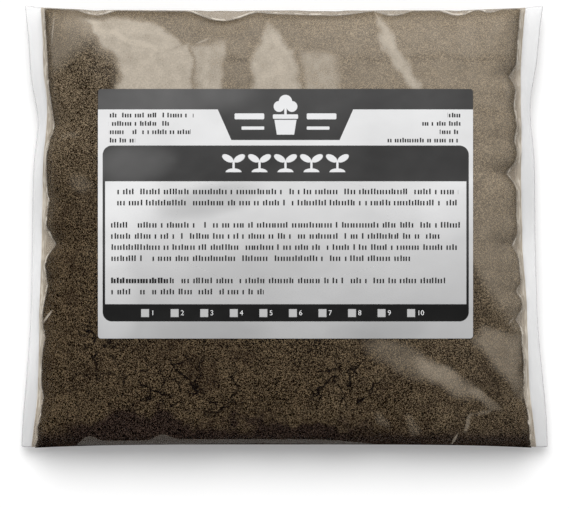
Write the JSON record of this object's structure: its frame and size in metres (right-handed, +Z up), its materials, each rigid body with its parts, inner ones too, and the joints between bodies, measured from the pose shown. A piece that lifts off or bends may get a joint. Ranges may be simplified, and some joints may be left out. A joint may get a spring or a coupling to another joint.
{
  "type": "bag of topsoil",
  "caption": "Clear heat-sealed pillow bag filled with dark brown topsoil, lying flat, with a printed label on its front.",
  "frame": {"origin": "on the surface that the bag lies on, under the middle of its box", "axes": "+X towards the label's right-hand end and along the bag from seal to seal, +Y towards the label's top edge, +Z up out of the label"},
  "size_m": [0.215, 0.1808, 0.0304],
  "materials": {
    "clear_film": "clear polythene film, slightly milky, milkier where two layers lie together at the ends",
    "soil": "dark brown screened topsoil, fine matt grain with small crumbs",
    "label_paper": "white printed sticker with dark grey and black fields, soft gloss"
  },
  "bodies": {
    "root": {"film_bag": "clear_film", "soil_fill": "soil", "label": "label_paper"}
  },
  "joints": []
}
